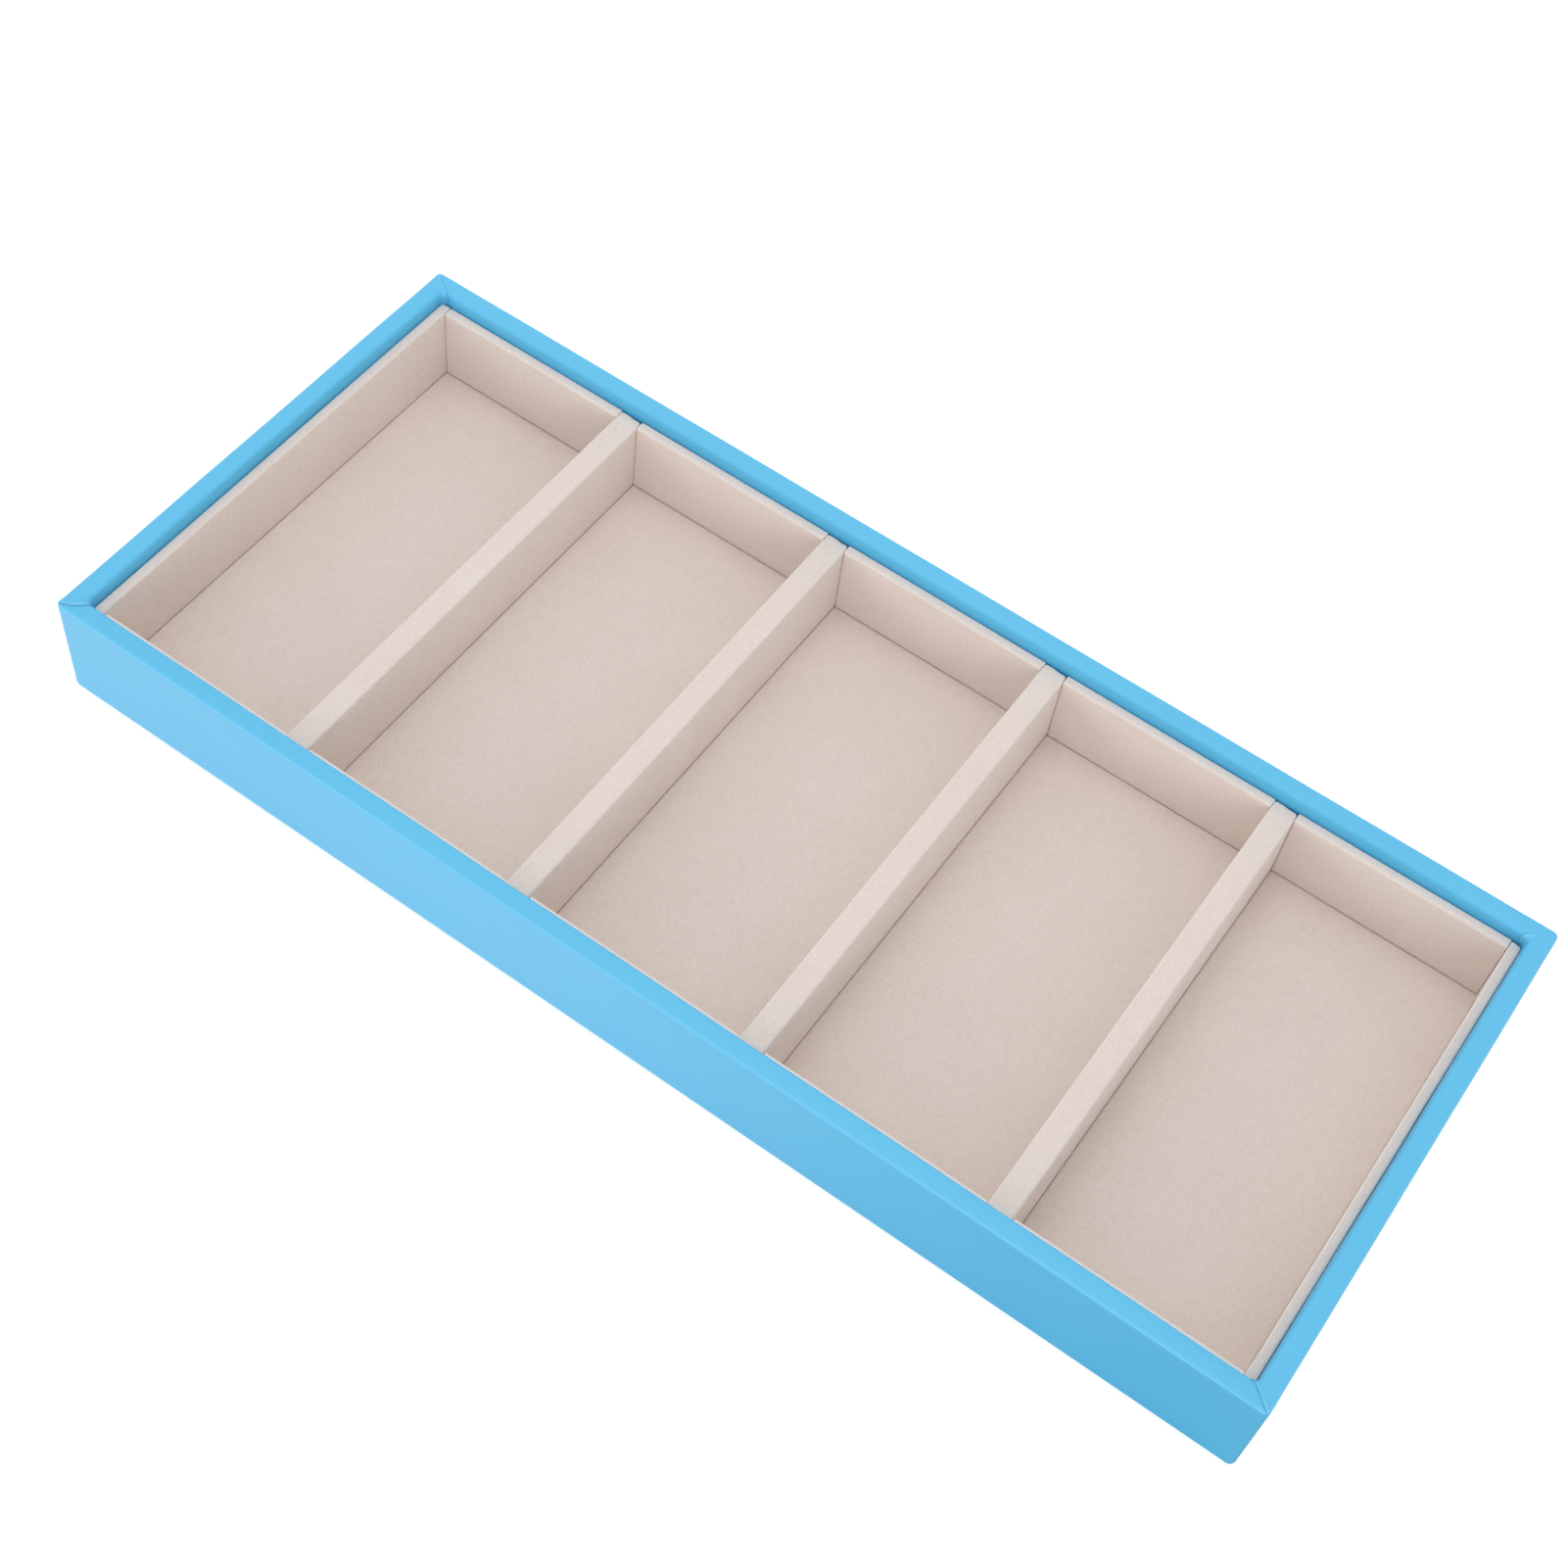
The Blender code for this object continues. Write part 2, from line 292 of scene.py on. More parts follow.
# Raw boards, card and sheet that show in the slots, under a lifted divider and from below
plainLooks = {
    "fibreboard": {
        "light": (0.52, 0.39, 0.26, 1),
        "deep": (0.33, 0.23, 0.14, 1),
        "speckle": {"Fine": (1400.0, 0.9), "Coarse": (380.0, 0.9), "Patch": (40.0, 0.4)},
        "stretch": (1.0, 1.0, 3.0),
        "depth": 0.00012,
        "constants": {"Roughness": 0.85, "Specular IOR Level": 0.3},
    },
    "grey card": {
        "light": (0.47, 0.45, 0.42, 1),
        "deep": (0.33, 0.31, 0.29, 1),
        "speckle": {"Fine": (2200.0, 0.7), "Coarse": (500.0, 0.6), "Patch": (25.0, 0.4)},
        "stretch": (1.0, 1.0, 1.0),
        "depth": 0.00006,
        "constants": {"Roughness": 0.9, "Specular IOR Level": 0.3},
    },
    "underside sheet": {
        "light": (0.045, 0.045, 0.050, 1),
        "deep": (0.012, 0.012, 0.014, 1),
        "speckle": {"Fine": (1800.0, 0.9), "Coarse": (450.0, 0.8), "Patch": (18.0, 0.3)},
        "stretch": (0.35, 1.0, 1.0),
        "depth": 0.0001,
        "constants": {"Roughness": 0.82, "Specular IOR Level": 0.3},
    },
}


def makePlain(name, look):
    material, nodes, shader, place = newMaterial(name, look["constants"])
    stretched = nodes.add("ShaderNodeMapping", {"Vector": place, "Scale": look["stretch"]}).outputs[0]
    surface = speckled(nodes, stretched, look)
    nodes.put(shader.inputs["Base Color"], surface["Color"])
    bump(nodes, shader, surface["Height"], look["depth"])
    return material


leatherette = makeLeatherette(leatheretteLook)
velvet = makeVelvet(velvetLook)
plain = {name: makePlain(name, look) for name, look in plainLooks.items()}
print("materials: leatherette, velvet, fibreboard, grey card and underside sheet")


# Each of the frame's own nodes gets the finish of its kind, by a word in its name.
finishes = {
    "leatherette": leatherette,
    "velvet": velvet,
    "card": plain["grey card"],
    "underside": plain["underside sheet"],
    "board": plain["fibreboard"],
    "core": plain["fibreboard"],
}
for name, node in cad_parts.items():
    node.data.materials.clear()
    node.data.materials.append(next(finish for word, finish in finishes.items() if word in name))


# Leatherette wrap: one skin round the four walls, lapped at each rim corner. Stations stand beside a seam by
# atSeam, besideSeam (from, to, step) and towardsSide (from, count). The other pairs say where something starts
# and ends, but softenedAt is a way and a width.
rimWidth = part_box("left_leatherette")[1].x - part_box("left_leatherette")[0].x
wrap = {
    "thickness": 0.001,
    "outerRadius": 0.001,
    "browWidth": 0.0013,
    "browDepth": 0.0028,
    "browSteps": 14,
    "turnIn": 0.0004,
    "softened": 0.00025,
    "bottomRadius": 0.0025,
    "lipDepth": 0.014,
    "cornerRadius": 0.002,
    "mitreRadius": 0.0003,
    "lipCornerRadius": 0.0016,
    "crown": 0.00006,
    "fineStep": 0.0002,
    "faceStep": 0.0014,
    "hiddenStep": 0.003,
    "cornerReach": 0.014,
    "sideStep": 0.008,
    "atSeam": (0.00004, 0.00012),
    "besideSeam": (0.00022, 0.0036, 0.0002),
    "towardsSide": (0.0038, 15),
    "wave": 0.00006,
    "waveLength": 0.083,
    "wavePhase": 1.3,
    "waveFrom": (0.001, 0.006),
    "calmCorner": (0.004, 0.014),
    "softenedAt": (0.0056, 0.0012),
    "softenedTo": (0.005, 0.045),
    # share and width of the pale edge line: partly stretched leatherette, partly painted highlight
    "stretchedShare": 0.7,
    "stretchedWidth": 0.00045,
    # where the painted shade at the foot of the lip starts and ends, and its share
    "lipFoot": (0.0103, 0.0116),
    "lipFootShare": 0.85,
    "dent": {
        "before": "rearRight",
        "depth": 0.0004,
        "place": 0.002,
        "length": 0.022,
        "way": 0.0082,
        "reach": 0.0016,
    },
}

# Seams, in the order that the path meets the corners. Places are (way from the outer edge over the rim,
# offset from the mitre towards the long wall). The end wall's strip laps over the long wall's strip.
# Each seam's ridge is the share of painted highlight on the lap's edge, and its dark is the share of painted
# shade at the lap's foot.
seams = {
    "frontRight": {
        "places": ((0, 0.0), (0.0021, 0.0003), (0.0035, 0.0005), (0.005, 0.0006), (0.0062, 0.0008),
                   (0.012, 0.001)),
        "from": -0.0005, "to": 0.010, "lap": 0.00030, "fade": 0.0012, "groove": 0.00012, "lapSide": 1,
        "ridge": 1.0, "dark": 0.35,
    },
    "rearRight": {
        "places": ((0, 0.0004), (0.004, 0.0006), (0.0055, 0.0010), (0.0062, 0.0013), (0.0072, 0.0012),
                   (0.012, 0.0009)),
        "from": 0.0044, "to": 0.011, "lap": 0.00038, "fade": 0.0014, "groove": 0.00008, "lapSide": -1,
        "ridge": 1.0, "dark": 0.1,
    },
    "rearLeft": {
        "places": ((0, 0.0), (0.001, 0.0002), (0.002, 0.0002), (0.0034, -0.0001), (0.0043, 0.0005),
                   (0.0054, 0.0010), (0.0064, 0.0012), (0.012, 0.0013)),
        "from": -0.0005, "to": 0.011, "lap": 0.00026, "fade": 0.0010, "groove": 0.00012, "lapSide": 1,
        "ridge": 0.8, "dark": 0.35,
    },
    "frontLeft": {
        "places": ((0, -0.0003), (0.001, -0.0001), (0.0017, 0.0006), (0.0026, 0.0012), (0.0039, 0.0015),
                   (0.0051, 0.0013), (0.0062, 0.0014), (0.012, 0.0018)),
        "from": -0.0005, "to": 0.010, "lap": 0.00040, "fade": 0.0016, "groove": 0.00018, "lapSide": -1,
        "ridge": 1.0, "dark": 0.5,
    },
}

# Across every seam: the widths of its groove, painted shade line and painted highlight ridge, how far the line
# and the ridge are from it, where its offset starts to fade along the path and begins below the rim, and its
# first and last stretch
seamLook = {
    "grooveWidth": 0.0003,
    "darkAt": -0.0001,
    "darkWidth": 0.00014,
    "ridgeAt": 0.00045,
    "ridgeWidth": 0.0003,
    "smoothing": 0.0003,
    "offsetFrom": 0.001,
    "offsetBelow": 0.003,
    "first": 0.0012,
    "last": 0.003,
}


# Straight run of a section from one (inset, height) to another, without its last point.
def run(start, end, step):
    start, end = np.array(start), np.array(end)
    count = max(1, round(float(np.linalg.norm(end - start)) / step))
    return start + (end - start) * (np.arange(count) / count)[:, None]


# Arc of a section: centre plus radius times the cosine and sine of the angle, without its last point.
def arc(centre, radius, startAngle, endAngle, step):
    count = max(3, round(radius * abs(math.radians(endAngle - startAngle)) / step))
    angle = np.radians(startAngle + (endAngle - startAngle) * np.arange(count) / count)
    return np.array(centre) + radius * np.stack([np.cos(angle), np.sin(angle)], 1)


# The folded strip in section: under the wall, up the outside, over the rim, down the lip and back. The rim
# swells by the crown times half a sine. Between it and the lip is a quarter of an ellipse: (width sin a,
# depth (cos a - 1)).
def wrapSection():
    t, top, rim = wrap["thickness"], caseHeight, rimWidth
    outer, low, turnIn = wrap["outerRadius"], wrap["bottomRadius"], wrap["turnIn"]
    width, depth = wrap["browWidth"], wrap["browDepth"]
    fine, face, hidden = wrap["fineStep"], wrap["faceStep"], wrap["hiddenStep"]
    shoulder, end = rim - width, top - wrap["lipDepth"]
    crest = run((outer, top), (shoulder, top), fine)
    crest[:, 1] += wrap["crown"] * np.sin(np.pi * (crest[:, 0] - outer) / (shoulder - outer))
    angle = np.linspace(0, math.pi / 2, wrap["browSteps"] + 1)[:-1]
    brow = np.stack([shoulder + width * np.sin(angle), top + depth * (np.cos(angle) - 1)], 1)
    shown = [
        run((rim, 0), (low, 0), face),
        arc((low, low), low, 270, 180, 2 * fine),
        run((0, low), (0, top - outer), face),
        arc((outer, top - outer), outer, 180, 90, fine),
        crest,
        brow,
        run((rim, top - depth), (rim, end), hidden),
    ]
    back = [
        run((rim, end), (rim - t, end), t),
        run((rim - t, end), (rim - t, top - t - turnIn), hidden),
        arc((rim - t - turnIn, top - t - turnIn), turnIn, 0, 90, fine),
        run((rim - t - turnIn, top - t), (t, top - t), hidden),
        run((t, top - t), (t, low), hidden),
        arc((low, low), low - t, 180, 270, 3 * fine),
        run((low, t), (rim, t), hidden),
        run((rim, t), (rim, 0), t),
    ]
    section = np.concatenate(shown + back)
    way = np.cumsum(np.linalg.norm(np.diff(section, axis=0, prepend=section[:1]), axis=1))
    edge = sum(len(part) for part in shown[:4])
    along = np.roll(section, -1, 0) - np.roll(section, 1, 0)
    normal = np.stack([-along[:, 1], along[:, 0]], 1)
    normal /= np.linalg.norm(normal, axis=1, keepdims=True)
    outside = np.arange(len(section)) < sum(len(part) for part in shown)
    return section, normal, way - way[edge] + outer, outside


# Plan radius at each inset: it falls from the outer corner to the mitre, and grows again at the lip.
def planRadius(inset):
    outside = np.maximum(wrap["cornerRadius"] - inset, wrap["mitreRadius"])
    grown = wrap["lipCornerRadius"] * ease(inset, rimWidth - wrap["browWidth"], rimWidth)
    return np.maximum(outside, grown)


# Place at a distance from the middle of a corner's arc, negative before it: a straight, the arc, a straight.
def aroundCorner(distance, inset, halfAlong, halfAcross):
    radius = planRadius(inset)
    half = radius * math.pi / 4
    angle = np.clip(distance, -half, half) / radius - math.pi / 4
    along = halfAlong - inset - radius + radius * np.cos(angle) + np.minimum(distance + half, 0)
    across = radius - halfAcross + inset + radius * np.sin(angle) + np.maximum(distance - half, 0)
    return along, across


# A seam's share of the skin at each way along the section: 0 before its start and past its end, 1 between.
def seamShare(seam, way, outside):
    share = ease(way, seam["from"], seam["from"] + seamLook["first"])
    return (outside * share * (1 - ease(way, seam["to"] - seamLook["last"], seam["to"])))[:, None]


# The skin's four quarters: one straight side and the corner after it. The corner's stations follow the seam,
# so that its lap stands between two of them: they shift along the path by root 2 times the seam's offset, the
# mean of five within the smoothing. Over the seam the lap falls away by e to the power of -distance / fade.
# The right wall's lip is a little dented at mid-length, by a bell along the wall times a bell over the lip.
def wrapQuarter(corner, turn, section, normal, way, outside):
    seam = seams[corner]
    reach = wrap["cornerReach"]
    beside, (wide, wideCount) = np.arange(*wrap["besideSeam"]), wrap["towardsSide"]
    near = np.concatenate([wrap["atSeam"], beside, np.geomspace(wide, reach, wideCount)])
    u = np.concatenate([-near[::-1], near])[None, :]
    halfAlong, halfAcross = caseLength / 2, caseWidth / 2
    if turn % 2:
        halfAlong, halfAcross = halfAcross, halfAlong
    count = round((2 * halfAlong - 2 * reach) / wrap["sideStep"])
    share = np.arange(1, count)[None, :] / count
    inset, level = section[:, :1], section[:, 1:]
    places = np.array(seam["places"])
    window = np.linspace(-seamLook["smoothing"], seamLook["smoothing"], 5)
    line = np.mean([np.interp(way + shift, places[:, 0], places[:, 1]) for shift in window], 0)[:, None]
    hold = 1 - ease(np.abs(u), seamLook["offsetFrom"], reach)
    begun = ease(way[:, None], -seamLook["offsetBelow"], 0.0)
    distance = u - seam["lapSide"] * math.sqrt(2) * line * hold * begun
    off = u * seam["lapSide"]
    here = seamShare(seam, way, outside)
    groove = -seam["groove"] * bell(off, seamLook["grooveWidth"])
    cornerLift = here * np.where(off > 0, seam["lap"] * np.exp(-np.abs(off) / seam["fade"]), groove)
    # painted shade along the lap's foot, and painted highlight along its ridge
    creased = here * bell(off - seamLook["darkAt"], seamLook["darkWidth"]) * seam["dark"]
    ridge = here * bell(off - seamLook["ridgeAt"], seamLook["ridgeWidth"]) * seam["ridge"]

    def place(lift, distance, share):
        deep = inset + lift * normal[:, :1]
        along, across = aroundCorner(distance, deep[:, share.shape[1]:], halfAlong, halfAcross)
        start = deep[:, :share.shape[1]]
        last = halfAlong - start - planRadius(start) * (1 - math.pi / 4) - reach
        straight = (2 * share - 1) * last
        along = np.concatenate([straight, along], 1)
        across = np.concatenate([start - halfAcross + 0 * straight, across], 1)
        angle = math.pi / 2 * turn
        x = along * math.cos(angle) - across * math.sin(angle)
        y = along * math.sin(angle) + across * math.cos(angle)
        return np.stack([x, y, level + lift * normal[:, 1:]], -1)

    fromEnd = (1 - np.abs(2 * share - 1)) * (halfAlong - reach) + reach
    fromEnd = np.concatenate([fromEnd, np.abs(u)], 1)
    softWay, softWidth = wrap["softenedAt"]
    soft = bell(way[:, None] - softWay, softWidth) * outside[:, None]
    soft = soft * (1 - ease(fromEnd, *wrap["softenedTo"]))
    none = np.zeros((len(section), share.shape[1]))
    lift = np.concatenate([none, cornerLift], 1) - wrap["softened"] * soft
    dent = wrap["dent"]
    if corner == dent["before"]:
        overLip = outside[:, None] * bell(way[:, None] - dent["way"], dent["reach"])
        alongWall = bell((2 * share - 1) * halfAlong - dent["place"], dent["length"])
        lift[:, :count - 1] -= dent["depth"] * overLip * alongWall
    flat = place(lift * 0, distance, share)
    calm = ease(np.concatenate([share * 0 + reach, np.abs(u)], 1), *wrap["calmCorner"])
    slow = waves(flat[..., 0] + flat[..., 1], flat[..., 2], wrap["waveLength"], wrap["wavePhase"])
    steady = outside[:, None] * ease(level, *wrap["waveFrom"]) * calm
    points = place(lift + wrap["wave"] * slow * steady, distance, share)
    return points, np.concatenate([none, creased], 1), np.concatenate([none, ridge], 1)


# The four quarters in a ring, closed over the section. The pale edge line, partly a painted highlight, is a
# bell at the outer edge. Painted shade lies at the foot of the lip and in the laps' grooves.
def makeWrap():
    section, normal, way, outside = wrapSection()
    quarters = [wrapQuarter(corner, turn, section, normal, way, outside) for turn, corner in enumerate(seams)]
    points, creased, ridge = (np.concatenate(parts, 1) for parts in zip(*quarters))
    quads = gridQuads(*points.shape[:2], closeRows=True, closeColumns=True)
    skin = newPiece("leatherette_wrap", points, quads[:, ::-1], leatherette, "tray")
    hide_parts("front_leatherette", "rear_leatherette", "left_leatherette", "right_leatherette")
    # painted highlight along the outer edge, partly stretched leatherette, and along the laps' ridges
    edge = bell(way, wrap["stretchedWidth"])[:, None] * outside[:, None] * wrap["stretchedShare"]
    paint(skin, "stretched", np.clip(edge + ridge, 0, 1))
    # painted shade at the foot of the lip, down in the gap to the pads
    deep = ease(way, *wrap["lipFoot"])[:, None] * outside[:, None] * wrap["lipFootShare"]
    paint(skin, "creased", np.maximum(creased, deep))
    return len(quads)


print(f"leatherette wrap: {makeWrap()} quads, rim {rimWidth * 1000:.1f} mm wide")


# Velvet jackets over the pads' cards and the dividers' cores: thin rounded boxes, open below. A kind's pairs
# are for the side that faces into the compartment, or left on a divider, and for the other side. Only drawnIn
# is for the top and the foot, and drawnTo is where it starts and ends to fade, in shares of the half length.
# The front pads' tops get a painted highlight, pale as the normal's height goes from the first of the two
# values kept for it to the second.
pad = {"back": 0.0002, "longer": 0.0, "higher": 0.0, "drawnIn": (0.0, 0.0), "drawnTo": (0.9, 0.955)}
jackets = {
    # rolled: the share of painted sheen highlight on each side's rolled top edges
    "front": pad | {
        "broad": (0.0007, 0.0010), "ends": (0.0003, 0.0004), "top": (0.0008, 0.0010), "rolled": (0.6, 0.6),
        "longer": 0.00022, "drawnIn": (0.0004, 0.0005), "drawnTo": (0.99, 1.0),
    },
    "rear": pad | {
        "broad": (0.0007, 0.0006), "ends": (0.0003, 0.0004), "top": (0.0009, 0.0006), "rolled": (0.0, 0.9),
        "longer": 0.00022, "higher": 0.0003,
    },
    "left": pad | {
        "broad": (0.0007, 0.0006), "ends": (0.0003, 0.0007), "top": (0.0009, 0.0006), "rolled": (0.1, 0.35),
        "higher": 0.0005,
    },
    "right": pad | {
        "broad": (0.0006, 0.0009), "ends": (0.0003, 0.0012), "top": (0.0006, 0.0009), "rolled": (0.5, 0.3),
        "drawnIn": (0.0001, 0.0007),
    },
    "divider": pad | {
        "broad": (0.0006, 0.0011), "ends": (0.0012, 0.0017), "top": (0.0006, 0.0012), "rolled": (0.9, 0.3),
        "back": 0.0,
    },
    "lining": {"broad": (0.0003, 0.0004), "ends": (0.0003, 0.0004), "top": (0.0003, 0.0004)},
    "thickness": 0.0008,
    "below": 0.0005,
    "arcSteps": 7,
    "step": 0.0026,
    "fewest": 4,
    "turnover": 0.35,
    "crown": 0.0001,
    "topCrown": 0.00012,
    "wave": 0.00006,
    "waveLength": 0.047,
    "phaseStep": 1.7,
    "brushed": (0.2, 0.8),
    "fill": 0.9,
}
facing = {"front": 1, "left": 1, "rear": -1, "right": -1, "divider": -1}


# Places along one edge of a box: tangents of even angles inside each rounding, and even steps between.
def edgePlaces(low, high, radii, count):
    turn = 1 - np.tan(np.linspace(0, math.pi / 4, jackets["arcSteps"] + 1))[:-1]
    inside = np.sort(np.concatenate([[0], radii[0] * turn, radii[1] * turn]))
    middle = np.linspace(low + inside[-1], high - inside[-1], count)[1:-1]
    return np.concatenate([low + inside, middle, high - inside[::-1]])


# Each point of the sharp box goes to an ellipsoid of the edge radii, round the nearest point of the core box.
# The radii ease from one side's to the other's across the box, within the turnover from its middle.
def roundedBox(low, high, shape, broad, inner, counts):
    pairs = [shape["ends"], shape["ends"], shape["top"]]
    pairs[broad] = shape["broad"]
    places = [edgePlaces(*ends) for ends in zip(low, high, pairs, counts)]
    points, quads, start = [], [], 0
    for axis in range(3):
        first, second = (axis + 1) % 3, (axis + 2) % 3
        a, b = np.meshgrid(places[first], places[second], indexing="ij")
        for side, level in ((-1, low[axis]), (1, high[axis])):
            if (axis, side) == (2, -1):
                continue
            face = np.empty(a.shape + (3,))
            face[..., first], face[..., second], face[..., axis] = a, b, level
            faceQuads = gridQuads(*a.shape) + start
            points.append(face.reshape(-1, 3))
            quads.append(faceQuads if side > 0 else faceQuads[:, ::-1])
            start += a.size
    points, quads = np.concatenate(points), np.concatenate(quads)
    _, kept, same = np.unique(np.round(points, 8), axis=0, return_index=True, return_inverse=True)
    points, quads = points[kept], same.reshape(-1)[quads]
    middle, half = (low[broad] + high[broad]) / 2, (high[broad] - low[broad]) / 2
    turnover = jackets["turnover"]
    other = ease((middle - points[:, broad]) * inner / half, -turnover, turnover)[:, None]
    near, far = np.array(pairs).T
    radii = near + (far - near) * other
    core = np.clip(points, low + radii * (1, 1, 0), high - radii)
    out = (points - core) / radii
    out /= np.linalg.norm(out, axis=1, keepdims=True)
    normal = out / radii
    normal /= np.linalg.norm(normal, axis=1, keepdims=True)
    return core + radii * out, normal, quads


# A jacket's outer skin swells to its middle by (1 - u^2)(1 - up^2) and on top by (1 - v^2)(1 - u^8), has slow
# waves times (1 - u^8)(1 - up^8), and is drawn in on its inner side. Inside it is a plain lining, with quads
# between their open lower edges. Here u, v and up run from -1 to 1 along, across and up the box. The rolled
# edges get a painted sheen highlight, pale by the sine of twice the normal's angle from upright.
def makeJacket(name, node, kind, body, phase, inner):
    look = jackets[kind]
    low, high = (np.array(corner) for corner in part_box(node))
    broad = int(np.argmin((high - low)[:2]))
    low[2] -= jackets["below"]
    counts = np.maximum(jackets["fewest"], np.round((high - low) / jackets["step"]).astype(int))
    thickness, plainShape = jackets["thickness"], jackets["lining"]
    within = (low + thickness * np.array((1, 1, 0)), high - thickness)
    lining, _, _ = roundedBox(*within, plainShape, broad, inner, counts)
    back = low if inner > 0 else high
    back[broad] -= inner * look["back"]
    low[1 - broad] -= look["longer"]
    high[1 - broad] += look["longer"]
    high[2] += look["higher"]
    points, normal, quads = roundedBox(low, high, look, broad, inner, counts)
    share = 2 * (points - low) / (high - low) - 1
    u, v, up = share[:, 1 - broad], share[:, broad], share[:, 2]
    swell = jackets["crown"] * (1 - u ** 2) * (1 - up ** 2) * np.abs(normal[:, broad])
    swell += jackets["topCrown"] * (1 - v ** 2) * np.clip(normal[:, 2], 0, 1) * (1 - u ** 8)
    slow = waves(points[:, 0] + points[:, 1], points[:, 2], jackets["waveLength"], phase)
    height = swell + jackets["wave"] * slow * (1 - up ** 8) * (1 - u ** 8)
    shaped = points + normal * height[:, None]
    top, foot = look["drawnIn"]
    drawn = (top + (foot - top) * (1 - up) / 2) * (1 - ease(np.abs(u), *look["drawnTo"]))
    shaped[:, broad] -= inner * drawn * (1 + inner * v) / 2
    # painted sheen highlight on the rolled edges, and a painted highlight on the front pads' tops
    near = ease(v * inner, -jackets["turnover"], jackets["turnover"])
    rolled = look["rolled"][1] + (look["rolled"][0] - look["rolled"][1]) * near
    rolled *= 2 * np.sqrt(1 - normal[:, 2] ** 2) * np.clip(normal[:, 2], 0, 1)
    # painted highlight over the front pads' tops
    if kind == "front":
        rolled = np.maximum(rolled, ease(normal[:, 2], *jackets["brushed"]))
    count = len(points)
    edges = quads[:, [0, 1, 1, 2, 2, 3, 3, 0]].reshape(-1, 2)
    single = ~np.isin(edges @ (count, 1), edges[:, ::-1] @ (count, 1))
    start, end = edges[single].T
    hem = np.stack([end, start, start + count, end + count], 1)
    quads = np.concatenate([quads, quads[:, ::-1] + count, hem])
    piece = newPiece(name, np.concatenate([shaped, lining]), quads, velvet, body)
    paint(piece, "rolled", np.concatenate([np.clip(rolled, 0, 1), 0 * rolled]))
    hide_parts(node)
    return len(quads)


total = 0
covered = sorted(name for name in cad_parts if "velvet" in name and "floor" not in name)
for index, node in enumerate(covered):
    kind = node.split("_")[0]
    body = node.replace("_velvet", "") if kind == "divider" else "tray"
    phase = index * jackets["phaseStep"]
    total += makeJacket(node.replace("velvet", "jacket"), node, kind, body, phase, facing[kind])
print(f"velvet jackets: {total} quads")


# Floor velvet: a sheet on its card, rolled down along the foot of the pads and the dividers
floor = {
    "depth": 0.0006,
    "roll": 0.0007,
    "underRight": 0.0007,
    "steps": 6,
    "coarse": 0.003,
    "wave": 0.00006,
    "waveLength": 0.061,
    "wavePhase": 0.4,
}


# Places along one side of the floor: fine ones in the rolled edges on both sides of each line, at the roll
# times 1 less the cosine of even angles, and coarse ones between.
def floorPlaces(low, high, lines):
    near = floor["roll"] * (1 - np.cos(np.linspace(0, math.pi / 2, floor["steps"])))
    fine = np.concatenate([line + side * near for line in lines for side in (-1, 1)])
    coarse = np.linspace(low, high, round((high - low) / floor["coarse"]) + 1)
    apart = np.abs(coarse[:, None] - fine).min(1) > floor["roll"] / 2
    places = np.concatenate([[low, high], coarse[apart], fine[(fine > low) & (fine < high)]])
    return np.unique(np.round(places, 7))


# How far the sheet is down at a distance inside a line: 1 outside it, then a quarter round to 0.
def rolledDown(inside):
    t = np.clip(1 - inside / floor["roll"], 0, 1)
    return 1 - np.sqrt(1 - t * t)


# A grid of the sheet's top, closed round to a flat underside and capped at both ends. The top is at the
# node's height plus waves, less the depth times how far it is down.
def makeFloor():
    low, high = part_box("floor_velvet")
    dividers = [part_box(f"divider_velvet_{number}") for number in range(1, 5)]
    padX = (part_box("left_pad_velvet")[1].x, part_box("right_pad_velvet")[0].x + floor["underRight"])
    padY = (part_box("front_pad_velvet_1")[1].y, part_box("rear_pad_velvet_1")[0].y)
    edges = np.array([padX[0]] + [side.x for box in dividers for side in box] + [padX[1]]).reshape(-1, 2)
    xs, ys = floorPlaces(low.x, high.x, edges.ravel()), floorPlaces(low.y, high.y, padY)
    insideX = np.minimum(xs[:, None] - edges[:, 0], edges[:, 1] - xs[:, None]).max(1)
    insideY = np.minimum(ys - padY[0], padY[1] - ys)
    down = np.maximum(rolledDown(insideX)[:, None], rolledDown(insideY)[None, :])
    x, y = np.meshgrid(xs, ys, indexing="ij")
    slow = waves(x, y, floor["waveLength"], floor["wavePhase"])
    top = high.z + floor["wave"] * slow * (1 - down) - floor["depth"] * down
    under = np.stack([x, y, 0 * x + low.z], -1)
    loop = np.concatenate([np.stack([x, y, top], -1), under[:, ::-1]], 1)
    quads = gridQuads(*loop.shape[:2], closeColumns=True)
    width = loop.shape[1]
    rim = np.arange(len(ys) - 1)
    cap = np.stack([rim, rim + 1, width - 2 - rim, width - 1 - rim], 1)
    lastCap = (cap + (len(xs) - 1) * width)[:, ::-1]
    quads = np.concatenate([quads, cap, lastCap])
    sheet = newPiece("floor_velvet_sheet", loop, quads, velvet, "tray")
    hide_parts("floor_velvet")
    return len(quads)


print(f"floor velvet: {makeFloor()} quads")


# Camera, from where the tray's corners and edges lie in the photograph's frame of 1601 x 1601 pixels
camera = {
    "place": (0.1884, -0.3716, 0.6470),
    "turn": 38.233,
    "tilt": 33.603,
    "roll": -6.074,
    "focalPixels": 2531.3,
    "framePixels": 1601,
    "sensor": 36.0,
    "clip": (0.01, 20),
}


